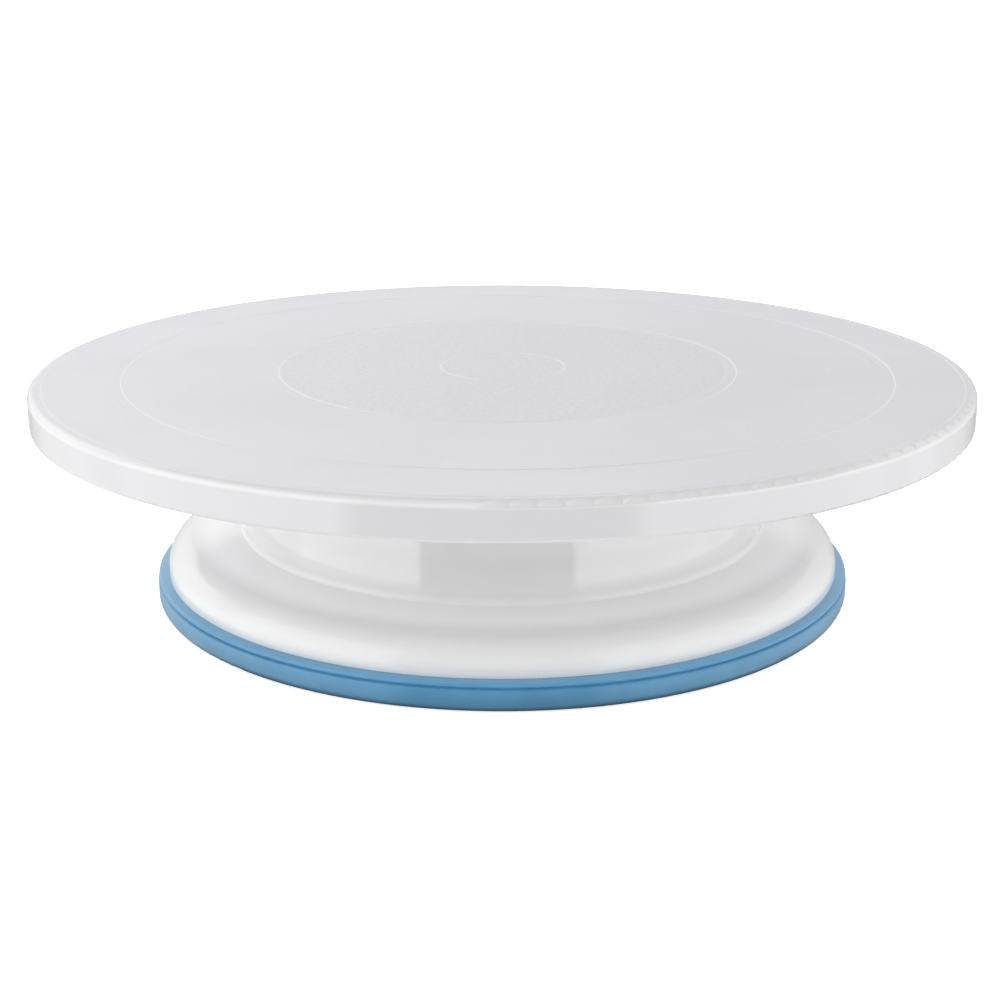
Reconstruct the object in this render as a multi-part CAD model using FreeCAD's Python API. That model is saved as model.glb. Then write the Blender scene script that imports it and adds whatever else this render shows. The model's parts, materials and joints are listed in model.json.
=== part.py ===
"""Cake turntable: a ribbed plastic plate that turns on a caged ball bearing over a drum-shaped base.

The origin is on the turning axis, in the plane that the foot ring stands on. +Z is up. Millimetres.
Every section is drawn in the (radius, height) plane and turned about the axis.
"""

import FreeCAD
import Part
import math
import os

# ---------------------------------------------------------------- driving dimensions
overall_height = 68.0
plate_radius = 140.0
rim_height = 10.4
skin = 2.6                      # wall of the plate
foot_radius = 105.9             # outside of the soft foot ring
drum_radius = 79.6
wall = 2.4                      # wall of the base

ball_radius = 3.0
ball_count = 20
ball_circle_radius = 55.0
ball_height = 60.2              # height of the ball centres
race_clearance = 0.08           # between a ball and the bottom of its groove

spindle_radius = 4.0
bush_clearance = 0.03           # radial, running fit on the spindle

# ---------------------------------------------------------------- plate
plate_top = overall_height
plate_under = plate_top - skin
rim_bottom = plate_top - rim_height
rim_inside = plate_radius - 2.6
rib_bottom = 62.0               # radial ribs and rib rings under the plate
plate_rib_count = 24
plate_rib_thickness = 1.8
plate_ring_radii = (84.0, 110.0)
dust_ring_radius = 65.5         # hangs close over the base's deck and keeps crumbs off the balls
dust_ring_bottom = 59.6

centre_mark = (18.4, 19.2, 0.10)        # inner radius, outer radius, depth of each guide groove
inner_guide = (67.0, 70.8, 0.16)
outer_guide = (113.2, 117.0, 0.16)
edge_guide = (136.0, 136.8, 0.10)
guide_wall = 0.6                # how far each sloping side of a guide groove reaches along the plate

hub_radius = 12.0
hub_bottom = 57.2
seat_inner_radius = 48.4        # the ring of plastic that the upper race is pressed into
seat_outer_radius = 61.8
seat_lip_bottom = 62.7
moulding_overlap = 0.5          # how far ribs and rings run into the plate before they are joined
spindle_head_radius = 7.0
spindle_head_bottom = 58.6
spindle_head_top = 64.6

# ---------------------------------------------------------------- bearing
race_inner_radius = 50.4
race_outer_radius = 59.6
lower_race_bottom = 56.0
lower_race_top = 58.4
upper_race_bottom = 2 * ball_height - lower_race_top
upper_race_top = 2 * ball_height - lower_race_bottom
groove_radius = 1.1 * ball_radius
cage_inner_radius = 51.2
cage_outer_radius = 58.8
cage_thickness = 2.4
pocket_radius = ball_radius + 0.15

# ---------------------------------------------------------------- base
deck_top = 58.8
channel_floor = lower_race_bottom
channel_lip_radius = 48.0       # a low lip holds the lower race on its inner side
channel_lip_top = 57.4
deck_step_radius = 62.6         # where the deck's underside steps up beside the channel
lip_outside = 102.5             # the base's lower lip stands in the foot ring's slot
lip_inside = lip_outside - wall
lip_bottom = 2.5
foot_rounding = 2.6             # along the foot ring's outer bottom edge
foot_band_top = 6.5
foot_groove_height = 7.05       # the narrow groove between the foot's lower band and its bead
foot_bead_bottom = 7.5
foot_top = 8.5
flange_edge_height = 17.9       # the flange's top face, carried out to the lip
flange_foot_height = 20.3       # where the flange meets the drum
shoulder = 8.0                  # rounding between the lip and the flange's top face
boss_radius = 9.5
boss_bore = 6.0
cup_radius = 13.0
cup_inside = 11.0
cup_top = 26.0
cup_bottom = 12.0
base_rib_count = 8
base_rib_thickness = 2.0
base_rib_inner_bottom = 16.0
base_rib_outer_bottom = 36.0
gusset_count = 8
gusset_thickness = 1.6

# ---------------------------------------------------------------- spindle stack
bush_flange_radius = 8.5
bush_flange = 1.0
bush_length = 8.0
end_play = 0.2
spindle_bottom = cup_top - bush_flange - end_play
screw_radius = 2.0
washer_radius = 8.0
washer_thickness = 1.2
spring_washer_radius = 3.7
spring_washer_thickness = 1.1
screw_head_radius = 4.0
screw_head_height = 2.4
screw_length = 10.0


def point(radius, height):
    return FreeCAD.Vector(radius, 0, height)


def outline(corners):
    """A closed wire in the (radius, height) plane. Each corner is (radius, height) or, where it is
    rounded, (radius, height, rounding)."""
    count = len(corners)
    places = [point(c[0], c[1]) for c in corners]
    starts, arcs, ends = [], [], []
    for i, here in enumerate(places):
        rounding = corners[i][2] if len(corners[i]) > 2 else 0.0
        before = (places[i - 1] - here).normalize()
        after = (places[(i + 1) % count] - here).normalize()
        if rounding == 0.0:
            starts.append(here)
            ends.append(here)
            arcs.append(None)
            continue
        half = before.getAngle(after) / 2
        reach = rounding / math.tan(half)
        middle_way = (before + after).normalize()
        centre = here + middle_way * (rounding / math.sin(half))
        starts.append(here + before * reach)
        ends.append(here + after * reach)
        arcs.append(centre - middle_way * rounding)
    edges = []
    for i in range(count):
        if arcs[i] is not None:
            edges.append(Part.Arc(starts[i], arcs[i], ends[i]).toShape())
        begin, finish = ends[i], starts[(i + 1) % count]
        if (finish - begin).Length > 1e-6:
            edges.append(Part.LineSegment(begin, finish).toShape())
    return Part.Wire(edges)


def turned(corners):
    """The solid that a section makes when it turns once about the axis."""
    face = Part.Face(outline(corners))
    return face.revolve(FreeCAD.Vector(0, 0, 0), FreeCAD.Vector(0, 0, 1), 360)


def tube(inner, outer, bottom, top):
    return turned([(inner, bottom), (outer, bottom), (outer, top), (inner, top)])


def radial_plate(corners, thickness, angle):
    """A flat rib of this outline that stands in a radial plane, at an angle in degrees."""
    face = Part.Face(outline(corners))
    rib = face.extrude(FreeCAD.Vector(0, thickness, 0))
    rib.translate(FreeCAD.Vector(0, -thickness / 2, 0))
    rib.rotate(FreeCAD.Vector(0, 0, 0), FreeCAD.Vector(0, 0, 1), angle)
    return rib


def spread(count, offset=0.0):
    """Evenly spaced angles in degrees."""
    return [offset + 360.0 * i / count for i in range(count)]


def guide_groove(inner, outer, depth):
    """The corners of one shallow groove in the plate's top, from the inside out."""
    rounding = 0.8
    return [
        (inner, plate_top, rounding),
        (inner + guide_wall, plate_top - depth, rounding),
        (outer - guide_wall, plate_top - depth, rounding),
        (outer, plate_top, rounding),
    ]


def guide_line(inner, outer, depth):
    """The corners of one fine V-shaped line in the plate's top, from the inside out."""
    return [(inner, plate_top), ((inner + outer) / 2, plate_top - depth), (outer, plate_top)]


def top_plate():
    corners = [
        (0, plate_top),
        *guide_line(*centre_mark),
        *guide_groove(*inner_guide),
        *guide_groove(*outer_guide),
        *guide_line(*edge_guide),
        (plate_radius, plate_top, 2.2),
        (plate_radius, rim_bottom, 0.9),
        (rim_inside, rim_bottom, 0.9),
        (rim_inside, plate_under, 1.5),
        (0, plate_under),
    ]
    plate = turned(corners)
    join = plate_under + moulding_overlap
    link_bottom = rib_bottom + 1.5
    seat = tube(seat_inner_radius, seat_outer_radius, upper_race_top, join)
    inner_lip = tube(seat_inner_radius, race_inner_radius, seat_lip_bottom, join)
    outer_lip = tube(race_outer_radius, seat_outer_radius, seat_lip_bottom, join)
    hub = turned([
        (0, hub_bottom),
        (hub_radius, hub_bottom, 0.6),
        (hub_radius, join),
        (0, join),
    ])
    rings = [tube(r - 1.0, r + 1.0, rib_bottom, join) for r in plate_ring_radii]
    dust_ring = turned([
        (dust_ring_radius - 1.0, dust_ring_bottom, 0.4),
        (dust_ring_radius + 1.0, dust_ring_bottom, 0.4),
        (dust_ring_radius + 1.0, join),
        (dust_ring_radius - 1.0, join),
    ])
    outer_rib = [
        (dust_ring_radius, rib_bottom),
        (rim_inside + 1.0, rib_bottom),
        (rim_inside + 1.0, join),
        (dust_ring_radius, join),
    ]
    link_rib = [
        (seat_outer_radius - 0.8, link_bottom),
        (dust_ring_radius, link_bottom),
        (dust_ring_radius, join),
        (seat_outer_radius - 0.8, join),
    ]
    inner_rib = [
        (hub_radius - 2.0, rib_bottom),
        (seat_inner_radius + 0.6, link_bottom),
        (seat_inner_radius + 0.6, join),
        (hub_radius - 2.0, join),
    ]
    ribs = []
    for angle in spread(plate_rib_count):
        ribs.append(radial_plate(outer_rib, plate_rib_thickness, angle))
        ribs.append(radial_plate(link_rib, plate_rib_thickness, angle))
    for angle in spread(plate_rib_count // 2):
        ribs.append(radial_plate(inner_rib, plate_rib_thickness, angle))
    whole = plate.multiFuse([seat, inner_lip, outer_lip, hub, dust_ring] + rings + ribs)
    return whole.cut(spindle_outer()).removeSplitter()


def spindle_outer():
    """The spindle without its tapped hole and flats: a knurled head moulded into the plate's hub."""
    return turned([
        (0, spindle_bottom),
        (spindle_radius, spindle_bottom, 0.5),
        (spindle_radius, spindle_head_bottom),
        (spindle_head_radius, spindle_head_bottom),
        (spindle_head_radius, 61.0),
        (spindle_head_radius - 0.8, 61.0),
        (spindle_head_radius - 0.8, 62.2),
        (spindle_head_radius, 62.2),
        (spindle_head_radius, spindle_head_top, 0.4),
        (0, spindle_head_top),
    ])


def spindle():
    body = spindle_outer()
    tapped_depth = screw_length + 2.0
    hole = turned([
        (0, spindle_bottom - 1),
        (screw_radius, spindle_bottom - 1),
        (screw_radius, spindle_bottom + tapped_depth),
        (0, spindle_bottom + tapped_depth + 1.2),
    ])
    return body.cut(hole)


def race(seat_height, open_height, direction):
    """A steel ring with a ball groove in its open face, which looks up where direction is 1."""
    ring = turned([
        (race_inner_radius, seat_height, 0.3),
        (race_outer_radius, seat_height, 0.3),
        (race_outer_radius, open_height, 0.3),
        (race_inner_radius, open_height, 0.3),
    ])
    groove_bottom = ball_height - direction * (ball_radius + race_clearance)
    groove_centre = groove_bottom + direction * groove_radius
    groove = Part.makeTorus(ball_circle_radius, groove_radius, FreeCAD.Vector(0, 0, groove_centre))
    return ring.cut(groove)


def lower_race():
    return race(lower_race_bottom, lower_race_top, 1)


def upper_race():
    return race(upper_race_top, upper_race_bottom, -1)


def ball_centre(angle):
    turn = math.radians(angle)
    return FreeCAD.Vector(
        ball_circle_radius * math.cos(turn), ball_circle_radius * math.sin(turn), ball_height
    )


def ball(angle):
    return Part.makeSphere(ball_radius, ball_centre(angle))


def ball_cage():
    half = cage_thickness / 2
    ring = turned([
        (cage_inner_radius, ball_height - half, 0.4),
        (cage_outer_radius, ball_height - half, 0.4),
        (cage_outer_radius, ball_height + half, 0.4),
        (cage_inner_radius, ball_height + half, 0.4),
    ])
    pockets = [Part.makeSphere(pocket_radius, ball_centre(a)) for a in spread(ball_count)]
    return ring.cut(Part.makeCompound(pockets))


def flanged_bush(flange_side, body_side):
    """A plastic bush: its flange lies against the boss at body_side and reaches to flange_side."""
    direction = 1 if body_side > flange_side else -1
    inner = spindle_radius + bush_clearance
    return turned([
        (inner, flange_side),
        (bush_flange_radius, flange_side, 0.3),
        (bush_flange_radius, body_side),
        (boss_bore, body_side),
        (boss_bore, body_side + direction * bush_length, 0.4),
        (inner, body_side + direction * bush_length),
    ])


def upper_bush():
    return flanged_bush(channel_floor + bush_flange, channel_floor)


def lower_bush():
    return flanged_bush(cup_top - bush_flange, cup_top)


def retaining_washer():
    return tube(screw_radius + 0.15, washer_radius, spindle_bottom - washer_thickness, spindle_bottom)


def spring_washer():
    """A split ring, closed flat under the screw's head."""
    top = spindle_bottom - washer_thickness
    ring = tube(screw_radius + 0.15, spring_washer_radius, top - spring_washer_thickness, top)
    split = Part.makeBox(4, 0.6, 4, FreeCAD.Vector(0, -0.3, top - 3))
    return ring.cut(split)


def retaining_screw():
    head_top = spindle_bottom - washer_thickness - spring_washer_thickness
    head_bottom = head_top - screw_head_height
    body = turned([
        (0, head_bottom),
        (screw_head_radius, head_bottom, 1.2),
        (screw_head_radius, head_top),
        (screw_radius, head_top),
        (screw_radius, head_top + screw_length, 0.4),
        (0, head_top + screw_length),
    ])
    recess_depth = 1.4
    for turn in (0, 90):
        slot = Part.makeBox(4.2, 0.9, recess_depth + 1, FreeCAD.Vector(-2.1, -0.45, head_bottom - 1))
        slot.rotate(FreeCAD.Vector(0, 0, 0), FreeCAD.Vector(0, 0, 1), turn)
        body = body.cut(slot)
    return body


def dust_cap():
    """A push-in cap that closes the cup under the screw."""
    cap_flange = cup_radius
    cap_thickness = 1.6
    skirt_height = 6.0
    return turned([
        (0, cup_bottom - cap_thickness),
        (cap_flange, cup_bottom - cap_thickness, 0.8),
        (cap_flange, cup_bottom),
        (cup_inside, cup_bottom),
        (cup_inside, cup_bottom + skirt_height, 0.5),
        (cup_inside - 1.4, cup_bottom + skirt_height),
        (cup_inside - 1.4, cup_bottom, 0.8),
        (0, cup_bottom),
    ])


def base_shell():
    """The moulded base: lip, flange, drum, stepped deck with the race's channel, and centre boss."""
    drum_inside = drum_radius - wall
    shell = turned([
        (lip_outside, lip_bottom, 0.5),
        (lip_outside, flange_edge_height, shoulder),
        (drum_radius, flange_foot_height, 0.8),
        (drum_radius, deck_top, 1.8),
        (race_outer_radius, deck_top, 0.5),
        (race_outer_radius, channel_floor),
        (race_inner_radius, channel_floor),
        (race_inner_radius, channel_lip_top, 0.4),
        (channel_lip_radius, channel_lip_top, 0.4),
        (channel_lip_radius, channel_floor, 0.4),
        (boss_bore, channel_floor),
        (boss_bore, cup_top),
        (cup_inside, cup_top),
        (cup_inside, cup_bottom),
        (cup_radius, cup_bottom, 0.5),
        (cup_radius, cup_top + wall, 1.5),
        (boss_radius, cup_top + wall, 1.5),
        (boss_radius, channel_floor - wall, 2.0),
        (deck_step_radius, channel_floor - wall, 1.0),
        (deck_step_radius, deck_top - wall, 1.0),
        (drum_inside, deck_top - wall, 1.5),
        (drum_inside, flange_foot_height - wall, 3.0),
        (lip_inside, flange_edge_height - wall, shoulder - wall),
        (lip_inside, lip_bottom, 0.5),
    ])
    drum_middle = drum_radius - wall / 2
    lip_middle = lip_outside - wall / 2
    main_rib = [
        (boss_radius - 1.0, channel_floor - 1.0),
        (boss_radius - 1.0, cup_top + 1.0),
        (cup_radius - 1.0, cup_top + 1.0),
        (cup_radius - 1.0, base_rib_inner_bottom),
        (drum_middle, base_rib_outer_bottom),
        (drum_middle, deck_top - 1.4),
        (deck_step_radius + 1.4, deck_top - 1.4),
        (deck_step_radius + 1.4, channel_floor - 1.0),
    ]
    gusset = [
        (drum_middle, 32.0),
        (drum_inside - 2.0, 32.0),
        (drum_inside - 5.0, 13.0),
        (86.0, 7.5),
        (lip_middle, 6.0),
        (lip_middle, 10.5),
        (99.0, 14.3),
        (95.0, flange_edge_height - wall / 2),
        (drum_middle, flange_foot_height - wall / 2),
    ]
    ribs = [radial_plate(main_rib, base_rib_thickness, a) for a in spread(base_rib_count)]
    half_step = 180.0 / gusset_count
    ribs += [radial_plate(gusset, gusset_thickness, a) for a in spread(gusset_count, half_step)]
    return shell.multiFuse(ribs).removeSplitter()


def grip_groove(radius):
    """The corners of a shallow ring groove in the foot's underside, from the inside out."""
    return [(radius - 0.6, 0), (radius - 0.3, 0.5), (radius + 0.3, 0.5), (radius + 0.6, 0)]


def anti_slip_ring():
    """The soft foot ring: a wide lower band and an upper bead, with a slot for the base's lip."""
    inner_radius = lip_inside - 2.2
    bead_radius = foot_radius - 0.2
    return turned([
        (inner_radius, 0, 0.4),
        *grip_groove(99.3),
        *grip_groove(101.6),
        (foot_radius, 0, foot_rounding),
        (foot_radius, foot_band_top, 0.5),
        (foot_radius - 1.0, foot_groove_height, 0.2),
        (bead_radius, foot_bead_bottom, 0.3),
        (bead_radius, foot_top, 0.75),
        (lip_outside, foot_top),
        (lip_outside, lip_bottom),
        (lip_inside, lip_bottom),
        (lip_inside, 6.2, 0.3),
        (inner_radius, 5.6, 0.6),
    ])


def export(name, shape):
    """One STEP file for each piece, after a look at whether every solid is sound."""
    sound = shape.isValid() and all(s.isClosed() for s in shape.Solids)
    volume = shape.Volume / 1000
    print(f"{name:18s} solids {len(shape.Solids)}  {volume:9.3f} cm3  {'sound' if sound else 'FAULTY'}")
    solids = shape.Solids
    whole = solids[0] if len(solids) == 1 else Part.makeCompound(solids)
    whole.exportStep(os.path.join("parts", name + ".step"))


def main():
    os.makedirs("parts", exist_ok=True)
    pieces = {
        "top_plate": top_plate(),
        "upper_race": upper_race(),
        "spindle": spindle(),
        "retaining_washer": retaining_washer(),
        "spring_washer": spring_washer(),
        "retaining_screw": retaining_screw(),
        "ball_cage": ball_cage(),
        "lower_race": lower_race(),
        "upper_bush": upper_bush(),
        "lower_bush": lower_bush(),
        "base_shell": base_shell(),
        "dust_cap": dust_cap(),
        "anti_slip_ring": anti_slip_ring(),
    }
    for number, angle in enumerate(spread(ball_count), start=1):
        pieces[f"ball_{number:02d}"] = ball(angle)
    for name, shape in pieces.items():
        export(name, shape)


main()
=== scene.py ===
"""Cake turntable: looks, floor, light and camera. Metres, in the CAD model's own frame."""

import json
import math

import bpy
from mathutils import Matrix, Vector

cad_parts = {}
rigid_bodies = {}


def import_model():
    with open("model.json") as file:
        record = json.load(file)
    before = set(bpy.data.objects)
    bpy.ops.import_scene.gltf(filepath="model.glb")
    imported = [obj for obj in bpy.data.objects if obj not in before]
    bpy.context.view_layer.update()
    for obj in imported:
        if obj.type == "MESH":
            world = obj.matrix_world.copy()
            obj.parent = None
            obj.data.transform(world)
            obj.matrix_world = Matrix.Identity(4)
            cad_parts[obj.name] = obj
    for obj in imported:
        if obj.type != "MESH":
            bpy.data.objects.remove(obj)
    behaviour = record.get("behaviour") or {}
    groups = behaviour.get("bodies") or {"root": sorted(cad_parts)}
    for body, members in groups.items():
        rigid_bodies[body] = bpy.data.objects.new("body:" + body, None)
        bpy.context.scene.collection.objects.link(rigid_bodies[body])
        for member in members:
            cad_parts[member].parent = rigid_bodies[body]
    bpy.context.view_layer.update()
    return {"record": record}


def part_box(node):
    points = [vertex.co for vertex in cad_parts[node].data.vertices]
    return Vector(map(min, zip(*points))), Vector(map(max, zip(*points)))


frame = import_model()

MM = 0.001
DEGREE = math.pi / 180

PLATE_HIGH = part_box("top_plate")[1]
PLATE_TOP = PLATE_HIGH[2]
PLATE_RADIUS = PLATE_HIGH[0]
INNER_GUIDE_RADIUS = 0.479 * PLATE_RADIUS

# Where one look passes into the next: each pair is where the passage starts and ends.
# Several of these bound painted light: the rounded lip's painted highlight, the painted light on
# the flange slope, drum foot, base near the ring and bead top, the painted shade below the bead,
# and the ring's painted contact shadow.
TOP_FACE = PLATE_TOP - 1.2 * MM, PLATE_TOP - 0.7 * MM
ROUNDED_LIP = PLATE_TOP - 2.4 * MM, PLATE_TOP - 1.2 * MM
INSIDE_RIM = PLATE_RADIUS - 5 * MM, PLATE_RADIUS - 3.5 * MM
PLATE_MIDDLE_TO_EDGE = 0.55 * PLATE_RADIUS, 0.92 * PLATE_RADIUS
FLANGE_TO_DRUM = 20 * MM, 23 * MM
DRUM_FOOT = 22 * MM, 33 * MM
FLANGE_SLOPE = 88 * MM, 98 * MM
BASE_NEAR_RING = 8.5 * MM, 11 * MM
BEAD_BOTTOM = 7.05 * MM
BEAD_TOP = 7.6 * MM, 8.1 * MM
RING_STANDING_EDGE = 0.6 * MM, 2.2 * MM

# Moulded pieces whose rounded edges need evener shading than the mesh's own normals give.
SMOOTHED = ("top_plate", "base_shell", "anti_slip_ring")

# Strengths of the studio's parts, seen from the object. "low" is below the horizon, where only
# reflections see them, because the floor hides them from everything else.
LIGHT = {
    "floor": 0.72,
    "front_low": 0.09, "front_up": 0.29,
    "box_left_low": 1.9, "box_left_up": 1.85,
    "box_right_low": 1.8, "box_right_up": 1.45,
    "gap_low": 1.35, "gap_up": 1.15,
    "wall_left_low": 1.1, "wall_left_up": 1.38,
    "wall_right_low": 0.92, "wall_right_up": 0.94,
    "ceiling": 0.45,
}

# Angles from straight in front, round the axis, at which the studio's parts start and end.
BOX_NEAR_LEFT, BOX_NEAR_RIGHT = 35 * DEGREE, 31 * DEGREE
BOX_FAR = 98 * DEGREE
WALL_NEAR = 120 * DEGREE

# The floor's radius, and how far outside it the backdrop stands.
FLOOR_REACH = 13.0
BACKDROP_GAP = 0.5
BACKDROP_GLOW = 0.98

# The camera. Its sensor and lens are in millimetres, as Blender has them, and it looks down by
# LOOKING_DOWN degrees.
SENSOR_WIDTH = 36.0
LENS = 64.48
CAMERA_SHIFT = -0.0018
CAMERA_PLACE = (0.0, -0.532, 0.1882)
LOOKING_DOWN = 17.02


# ---------------------------------------------------------------- node graphs
class Graph:
    """Short names for building a node tree. Any input takes a socket or a plain value."""

    def __init__(self, tree):
        self.tree = tree
        self.tree.nodes.clear()

    def add(self, kind, **settings):
        node = self.tree.nodes.new(kind)
        for key, value in settings.items():
            setattr(node, key, value)
        return node

    def put(self, socket, value):
        if isinstance(value, bpy.types.NodeSocket):
            self.tree.links.new(value, socket)
        else:
            socket.default_value = value

    def math(self, operation, *values):
        node = self.add("ShaderNodeMath", operation=operation)
        for socket, value in zip(node.inputs, values):
            self.put(socket, value)
        return node.outputs[0]

    def split(self, vector):
        node = self.add("ShaderNodeSeparateXYZ")
        self.put(node.inputs[0], vector)
        return node.outputs

    def join(self, x, y, z):
        node = self.add("ShaderNodeCombineXYZ")
        for socket, value in zip(node.inputs, (x, y, z)):
            self.put(socket, value)
        return node.outputs[0]

    def ramp(self, value, start, end, low=0.0, high=1.0):
        """low up to start, high from end on, and a smooth passage between them."""
        node = self.add("ShaderNodeMapRange", interpolation_type="SMOOTHSTEP", clamp=True)
        for socket, number in zip(node.inputs[:5], (value, start, end, low, high)):
            self.put(socket, number)
        return node.outputs[0]

    def mix(self, factor, first, second):
        node = self.add("ShaderNodeMix", data_type="RGBA")
        self.put(node.inputs[0], factor)
        self.put(node.inputs[6], first)
        self.put(node.inputs[7], second)
        return node.outputs[2]

    def blend(self, factor, first, second):
        """The same as mix, for numbers."""
        node = self.add("ShaderNodeMix", data_type="FLOAT")
        for socket, value in zip(node.inputs[:1] + node.inputs[2:4], (factor, first, second)):
            self.put(socket, value)
        return node.outputs[0]

    def noise(self, vector, size, detail=3.0, roughness=0.55):
        """Noise whose patches are about size metres across."""
        node = self.add("ShaderNodeTexNoise")
        self.put(node.inputs["Vector"], vector)
        node.inputs["Scale"].default_value = 1.0 / size
        node.inputs["Detail"].default_value = detail
        node.inputs["Roughness"].default_value = roughness
        return node.outputs[0]

    def cells(self, vector, size):
        """Distance from the middle of round cells about size metres apart."""
        node = self.add("ShaderNodeTexVoronoi")
        self.put(node.inputs["Vector"], vector)
        node.inputs["Scale"].default_value = 1.0 / size
        return node.outputs["Distance"]

    def bump(self, height, distance, under=None):
        """Height is 0 to 1 and stands for distance metres."""
        node = self.add("ShaderNodeBump")
        self.put(node.inputs["Height"], height)
        node.inputs["Distance"].default_value = distance
        if under is not None:
            self.put(node.inputs["Normal"], under)
        return node.outputs[0]


class Surface(Graph):
    """A material with one principled shader, and the measures of place that its patterns need."""

    def __init__(self, name, **constants):
        self.material = bpy.data.materials.new(name)
        self.material.use_nodes = True
        super().__init__(self.material.node_tree)
        output = self.add("ShaderNodeOutputMaterial")
        self.shader = self.add("ShaderNodeBsdfPrincipled")
        self.tree.links.new(self.shader.outputs[0], output.inputs[0])
        for key, value in constants.items():
            self.shader.inputs[key.replace("_", " ")].default_value = value
        where = self.add("ShaderNodeTexCoord")
        self.place = where.outputs["Object"]
        self.x, self.y, self.z = self.split(self.place)
        self.up = self.split(where.outputs["Normal"])[2]
        squares = [self.math("MULTIPLY", side, side) for side in (self.x, self.y)]
        self.radius = self.math("SQRT", self.math("ADD", *squares))

    def set(self, key, value):
        self.put(self.shader.inputs[key], value)

    def rings(self, spacing, arc):
        """Marks that run round the axis: noise that changes fast outwards and slowly round it."""
        turn = self.math("MULTIPLY", self.math("ARCTAN2", self.y, self.x), arc)
        return self.noise(self.join(self.radius, turn, self.z), spacing, 2.0)


def colour(level, tint=(1.0, 1.0, 1.0)):
    return (level * tint[0], level * tint[1], level * tint[2], 1.0)


# ---------------------------------------------------------------- plastics and rubber
def plate_plastic():
    """Satin moulded top, finely textured and more so inside the inner guide, with a glossy rim.
    The rim is painted darker as painted shade; the rounded lip, the tilted edges of the top and
    the underside are painted lighter as painted highlight and painted light.
    """
    s = Surface("plate_plastic", IOR=1.49, Coat_Weight=0.2, Coat_Roughness=0.12)
    flat = s.ramp(s.up, 0.80, 0.97)
    high = s.ramp(s.z, *TOP_FACE)
    on_top = s.math("MULTIPLY", flat, high)
    within = s.ramp(s.radius, INNER_GUIDE_RADIUS - MM, INNER_GUIDE_RADIUS, 1.0, 0.0)
    inner_disc = s.math("MULTIPLY", on_top, within)
    within_rim = s.ramp(s.radius, *INSIDE_RIM, 1.0, 0.0)
    below = s.math("MULTIPLY", s.ramp(s.up, -0.6, -0.2, 1.0, 0.0), within_rim)
    painted_highlight_lip = s.ramp(s.z, *ROUNDED_LIP)

    clouds = s.noise(s.place, 55 * MM, 2.0)
    grain = s.noise(s.place, 0.6 * MM, 3.0)
    speckle = s.cells(s.place, 1.6 * MM)
    scratches = s.rings(0.9 * MM, 0.02)

    cool, cooler, pale = (1.004, 0.995, 1.03), (1.006, 0.990, 1.062), (1.0, 0.997, 1.01)
    cloudy = s.ramp(clouds, 0.35, 0.65)
    inward = s.mix(cloudy, colour(0.680, cooler), colour(0.705, cooler))
    outward = s.mix(cloudy, colour(0.703, cooler), colour(0.729, cooler))
    plain = s.mix(s.ramp(s.radius, *PLATE_MIDDLE_TO_EDGE), inward, outward)
    dotted = s.mix(s.ramp(speckle, 0.10, 0.55), colour(0.615, cooler), colour(0.675, cooler))
    grained = s.mix(s.math("MULTIPLY", inner_disc, 0.8), plain, dotted)
    # Painted highlight: where the top face tilts, at the guide grooves' walls and the start of the
    # lip, it is painted paler.
    top = s.mix(s.ramp(s.up, 0.975, 0.997, 0.8, 0.0), grained, colour(0.80, pale))
    # Painted shade on the rim, painted darker than the top, and a painted highlight on its rounded
    # lip, painted lighter.
    rim = s.mix(painted_highlight_lip, colour(0.625, cool), colour(0.84, pale))
    # Painted light: the underside inside the rim is painted lighter than the rim.
    sides_painted_shade_and_light = s.mix(below, rim, colour(0.90, pale))
    s.set("Base Color", s.mix(on_top, sides_painted_shade_and_light, top))

    satin = s.ramp(grain, 0.3, 0.7, 0.34, 0.46)
    worn = s.math("ADD", satin, s.ramp(scratches, 0.60, 0.72, 0.0, -0.08))
    duller_below = s.math("MULTIPLY", below, 0.2)
    glossy = s.math("ADD", s.ramp(clouds, 0.3, 0.7, 0.09, 0.15), duller_below)
    s.set("Roughness", s.blend(on_top, glossy, worn))

    coarse = s.math("ADD", grain, s.math("MULTIPLY", speckle, 1.5))
    texture = s.blend(inner_disc, grain, coarse)
    textured = s.bump(s.math("MULTIPLY", texture, on_top), 0.03 * MM)
    s.set("Normal", s.bump(s.noise(s.place, 9 * MM, 1.0), 0.02 * MM, textured))
    return s.material


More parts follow.
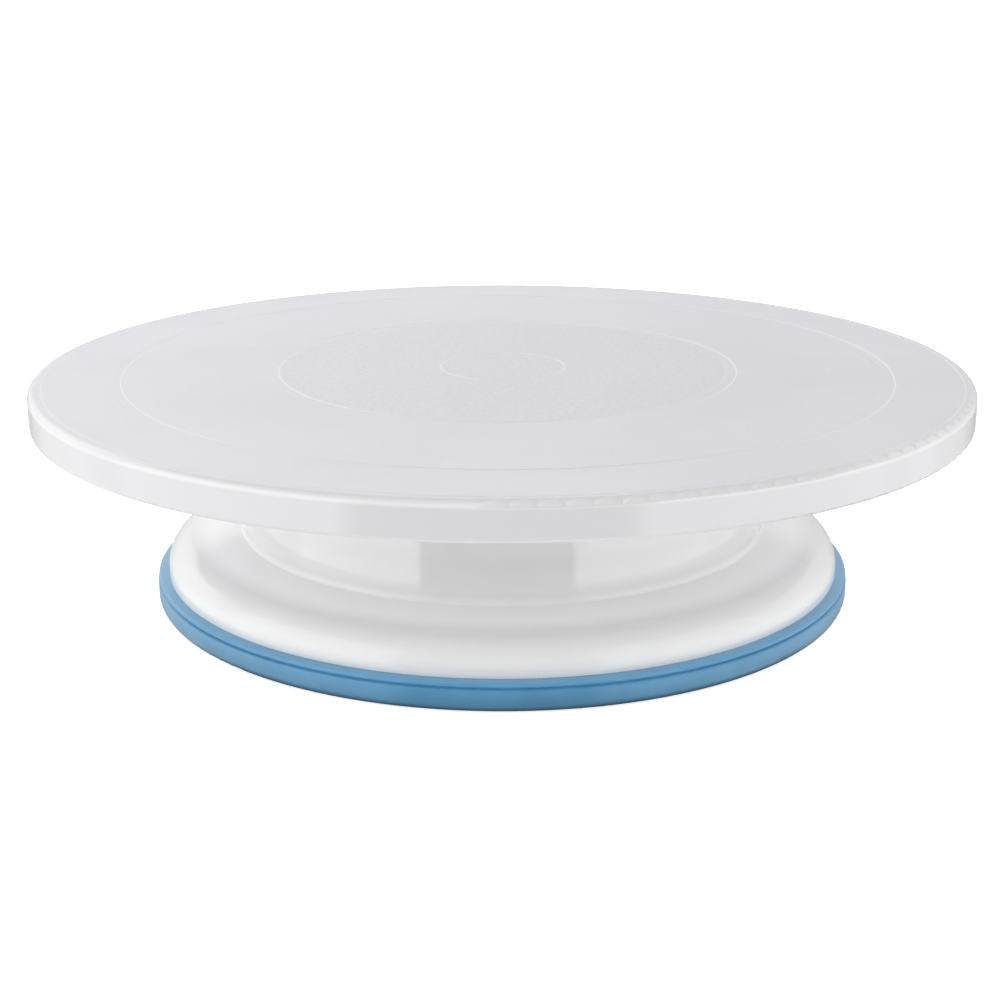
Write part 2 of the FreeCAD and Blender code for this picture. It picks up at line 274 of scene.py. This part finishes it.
def base_plastic():
    """White with a faint moulded ripple: glossiest on the drum, duller underneath.
    The flange is painted lighter than the drum as painted light, most of all beside the drum and
    next to the ring, and the drum is painted lighter near its foot.
    """
    s = Surface("base_plastic", IOR=1.50, Coat_Roughness=0.06)
    clouds = s.noise(s.place, 40 * MM, 2.0)
    fine = s.noise(s.place, 1.1 * MM, 2.0)
    below = s.ramp(s.up, -0.7, -0.2, 1.0, 0.0)
    neutral = (1.0, 1.0, 0.998)
    on_drum = s.ramp(s.z, *FLANGE_TO_DRUM)
    cloudy = s.mix(s.ramp(clouds, 0.3, 0.7), colour(0.655, neutral), colour(0.68, neutral))
    # Painted light: the drum is painted lighter towards its foot.
    drum = s.mix(s.ramp(s.z, *DRUM_FOOT, 1.0, 0.0), cloudy, colour(0.785, neutral))
    # Painted light: the flange is painted lighter than the drum, and lighter still beside the
    # drum.
    painted_light_slope = s.mix(s.ramp(s.radius, *FLANGE_SLOPE), colour(0.95, neutral), colour(0.765, neutral))
    # Painted light: next to the foot ring the flange is painted lighter again.
    painted_light_flange = s.mix(s.ramp(s.z, *BASE_NEAR_RING, 1.0, 0.0), painted_light_slope, colour(0.90, neutral))
    s.set("Base Color", s.mix(on_drum, painted_light_flange, drum))
    s.set("Coat Weight", s.blend(on_drum, 0.15, 0.7))
    polish = s.math("ADD", s.ramp(fine, 0.35, 0.7, 0.08, 0.13), s.blend(on_drum, 0.10, 0.0))
    s.set("Roughness", s.math("ADD", polish, s.math("MULTIPLY", below, 0.25)))
    ripple = s.bump(s.noise(s.place, 7 * MM, 1.0), 0.015 * MM)
    s.set("Normal", s.bump(fine, 0.003 * MM, ripple))
    return s.material


def foot_rubber():
    """Soft blue moulding: a fine satin skin and paler scuffs, with painted shade darker towards
    the standing edge, a painted contact shadow at the edge itself and painted light on the bead's
    top.
    """
    s = Surface(
        "foot_rubber", IOR=1.44, Coat_Weight=0.15, Coat_Roughness=0.22,
        Sheen_Weight=0.05, Sheen_Roughness=0.4,
    )
    clouds = s.noise(s.place, 16 * MM, 3.0)
    skin = s.noise(s.place, 0.5 * MM, 3.0)
    scuffs = s.rings(0.7 * MM, 0.02)
    deep = (0.076, 0.280, 0.495, 1.0)
    pale = (0.092, 0.304, 0.525, 1.0)
    dusty = (0.160, 0.350, 0.500, 1.0)
    painted_shade_blue = (0.038, 0.128, 0.205, 1.0)
    painted_light_blue = (0.130, 0.350, 0.560, 1.0)
    painted_contact_shadow = (0.016, 0.040, 0.058, 1.0)
    body = s.mix(s.ramp(clouds, 0.3, 0.7), deep, pale)
    scuffed = s.mix(s.ramp(scuffs, 0.62, 0.80, 0.0, 0.25), body, dusty)
    # Painted shade: below the bead the blue is painted darker towards the bottom, with an uneven
    # border.
    uneven = s.math("ADD", s.z, s.ramp(clouds, 0.3, 0.7, -0.6 * MM, 0.6 * MM))
    low = s.ramp(uneven, -1.0 * MM, BEAD_BOTTOM + 1.5 * MM, 0.85, 0.12)
    below_bead = s.ramp(s.z, BEAD_BOTTOM, BEAD_BOTTOM + 0.4 * MM, 1.0, 0.0)
    # The scuffs are wear; the darker blue mixed over them below the bead is painted shade.
    worn = s.mix(s.math("MULTIPLY", low, below_bead), scuffed, painted_shade_blue)
    # Painted light: the bead's upward-facing top is painted paler.
    painted_light_on_bead_top = s.math("MULTIPLY", s.ramp(s.up, 0.25, 0.85), s.ramp(s.z, *BEAD_TOP))
    with_painted_light_on_bead = s.mix(painted_light_on_bead_top, worn, painted_light_blue)
    # Painted contact shadow: the blue goes nearly black towards the standing edge.
    s.set("Base Color", s.mix(s.ramp(s.z, *RING_STANDING_EDGE, 0.85, 0.0), with_painted_light_on_bead, painted_contact_shadow))
    s.set("Roughness", s.ramp(skin, 0.3, 0.7, 0.30, 0.42))
    s.set("Normal", s.bump(skin, 0.012 * MM, s.bump(clouds, 0.03 * MM)))
    return s.material


def dull_plastic(name, base, rough):
    """Unpainted nylon or acetal, as it leaves the mould."""
    s = Surface(name, IOR=1.51)
    clouds = s.noise(s.place, 6 * MM, 3.0)
    fine = s.noise(s.place, 0.4 * MM, 2.0)
    s.set("Base Color", s.mix(s.ramp(clouds, 0.3, 0.7), colour(0.94, base), colour(1.0, base)))
    s.set("Roughness", s.ramp(fine, 0.3, 0.7, rough - 0.06, rough + 0.06))
    s.set("Normal", s.bump(fine, 0.008 * MM))
    return s.material


# ---------------------------------------------------------------- metals
def turned_steel(name, base, rough):
    """Steel with fine tool lines that run round the axis and a thin film of grease in patches."""
    s = Surface(name, Metallic=1.0)
    lines = s.rings(0.25 * MM, 0.004)
    film = s.noise(s.place, 5 * MM, 3.0)
    s.set("Base Color", s.mix(s.ramp(film, 0.4, 0.7), colour(1.0, base), colour(0.88, base)))
    turned = s.ramp(lines, 0.3, 0.7, rough - 0.06, rough + 0.08)
    s.set("Roughness", s.math("ADD", turned, s.ramp(film, 0.4, 0.7, 0.0, 0.06)))
    s.set("Normal", s.bump(lines, 0.006 * MM))
    return s.material


def polished_steel():
    """Bearing balls: bright, with the faintest lapping marks."""
    s = Surface("ball_steel", Metallic=1.0)
    lapping = s.noise(s.place, 0.3 * MM, 4.0)
    s.set("Base Color", s.mix(lapping, colour(0.70), colour(0.76)))
    s.set("Roughness", s.ramp(lapping, 0.3, 0.7, 0.05, 0.11))
    s.set("Normal", s.bump(lapping, 0.001 * MM))
    return s.material


# ---------------------------------------------------------------- finishes onto the CAD pieces
def finish_pieces():
    slots = {
        "plate_plastic": plate_plastic(),
        "base_plastic": base_plastic(),
        "foot_rubber": foot_rubber(),
        "cap_plastic": dull_plastic("cap_plastic", (0.74, 0.74, 0.74), 0.30),
        "cage_plastic": dull_plastic("cage_plastic", (0.66, 0.64, 0.56), 0.45),
        "bush_plastic": dull_plastic("bush_plastic", (0.76, 0.76, 0.73), 0.38),
        "race_steel": turned_steel("race_steel", (0.56, 0.56, 0.55), 0.24),
        "spindle_steel": turned_steel("spindle_steel", (0.60, 0.60, 0.60), 0.28),
        "fastener_steel": turned_steel("fastener_steel", (0.66, 0.67, 0.68), 0.32),
        "ball_steel": polished_steel(),
    }
    for part in frame["record"]["subparts"]:
        piece = bpy.data.objects[part["node"]]
        piece.data.materials.clear()
        piece.data.materials.append(slots[part["material_slot"]])
        if part["node"] in SMOOTHED:
            even = piece.modifiers.new("even_shading", "WEIGHTED_NORMAL")
            even.mode = "FACE_AREA_WITH_ANGLE"
            even.weight = 80
            even.keep_sharp = True


# ---------------------------------------------------------------- studio
def stage_piece(name, shader):
    """Name the newest object and give it a material. shader makes the material's last socket."""
    piece = bpy.context.object
    piece.name = name
    material = bpy.data.materials.new(name + "_paper")
    material.use_nodes = True
    g = Graph(material.node_tree)
    g.put(g.add("ShaderNodeOutputMaterial").inputs[0], shader(g))
    piece.data.materials.append(material)
    return piece


def glow(g, strength):
    node = g.add("ShaderNodeEmission")
    node.inputs["Strength"].default_value = strength
    return node.outputs[0]


def lit_paper(g):
    """Pale paper with a little glow of its own, clear when it is seen from below."""
    paper = g.add("ShaderNodeBsdfDiffuse")
    paper.inputs["Color"].default_value = colour(0.90)
    lit = g.add("ShaderNodeAddShader")
    g.put(lit.inputs[0], paper.outputs[0])
    g.put(lit.inputs[1], glow(g, LIGHT["floor"]))
    either = g.add("ShaderNodeMixShader")
    g.put(either.inputs[0], g.add("ShaderNodeNewGeometry").outputs["Backfacing"])
    g.put(either.inputs[1], lit.outputs[0])
    g.put(either.inputs[2], g.add("ShaderNodeBsdfTransparent").outputs[0])
    return either.outputs[0]


def floor_and_backdrop():
    """A wide pale floor, and a pale dome round it that casts no light."""
    bpy.ops.mesh.primitive_circle_add(vertices=128, radius=FLOOR_REACH, fill_type="NGON")
    floor = stage_piece("floor", lit_paper)
    floor.visible_glossy = False

    bpy.ops.mesh.primitive_uv_sphere_add(
        segments=96, ring_count=48, radius=FLOOR_REACH + BACKDROP_GAP)
    dome = stage_piece("backdrop", lambda g: glow(g, BACKDROP_GLOW))
    for ray in ("diffuse", "glossy", "transmission", "volume_scatter", "shadow"):
        setattr(dome, "visible_" + ray, False)


def studio_light():
    """Soft light all round: a dim front, a tall soft box on each side of it, then walls behind."""
    world = bpy.data.worlds.new("studio")
    bpy.context.scene.world = world
    world.use_nodes = True
    g = Graph(world.node_tree)
    sky = g.add("ShaderNodeBackground")
    g.put(g.add("ShaderNodeOutputWorld").inputs[0], sky.outputs[0])
    x, y, z = g.split(g.add("ShaderNodeTexCoord").outputs["Generated"])
    away = g.math("ABSOLUTE", g.math("ARCTAN2", x, g.math("MULTIPLY", y, -1.0)))
    height = g.math("ARCSINE", z)
    upper = g.ramp(height, -1.5 * DEGREE, 1.5 * DEGREE)
    overhead = g.ramp(height, 38 * DEGREE, 48 * DEGREE)
    to_right = g.ramp(x, -0.35, 0.35)

    def by_height(name):
        """A level below the horizon and one above it."""
        return g.blend(upper, LIGHT[name + "_low"], LIGHT[name + "_up"])

    def by_side(name):
        return g.blend(to_right, by_height(name + "_left"), by_height(name + "_right"))

    near = g.blend(to_right, BOX_NEAR_LEFT, BOX_NEAR_RIGHT)
    box = g.ramp(g.math("SUBTRACT", away, near), -1.2 * DEGREE, 1.2 * DEGREE)
    gap = g.ramp(away, BOX_FAR - 1.5 * DEGREE, BOX_FAR + 1.5 * DEGREE)
    wall = g.ramp(away, WALL_NEAR - 2 * DEGREE, WALL_NEAR + 2 * DEGREE)
    level = g.blend(box, by_height("front"), by_side("box"))
    level = g.blend(gap, level, by_height("gap"))
    rising = g.ramp(height, 4 * DEGREE, 30 * DEGREE, 0.77, 1.45)
    behind = g.ramp(away, 125 * DEGREE, 155 * DEGREE, 1.0, 0.55)
    shaped = g.math("MULTIPLY", by_side("wall"), g.blend(upper, behind, rising))
    level = g.blend(wall, level, shaped)
    level = g.blend(overhead, level, LIGHT["ceiling"])
    near_feet = g.ramp(height, -40 * DEGREE, -28 * DEGREE, 0.08, 1.0)
    g.put(sky.inputs["Strength"], g.math("MULTIPLY", level, near_feet))
    warm = (1.0, 0.995, 0.96)
    g.put(sky.inputs["Color"], g.mix(upper, colour(1.0, warm), colour(1.0)))


def camera():
    """In front, a little above, looking down at the turning axis."""
    data = bpy.data.cameras.new("camera")
    data.sensor_width = SENSOR_WIDTH
    data.lens = LENS
    data.shift_x = CAMERA_SHIFT
    data.clip_end = 50.0
    eye = bpy.data.objects.new("camera", data)
    eye.location = CAMERA_PLACE
    eye.rotation_euler = (math.radians(90.0 - LOOKING_DOWN), 0.0, 0.0)
    bpy.context.collection.objects.link(eye)
    bpy.context.scene.camera = eye


finish_pieces()
floor_and_backdrop()
studio_light()
camera()
bpy.context.scene.view_settings.view_transform = "Standard"
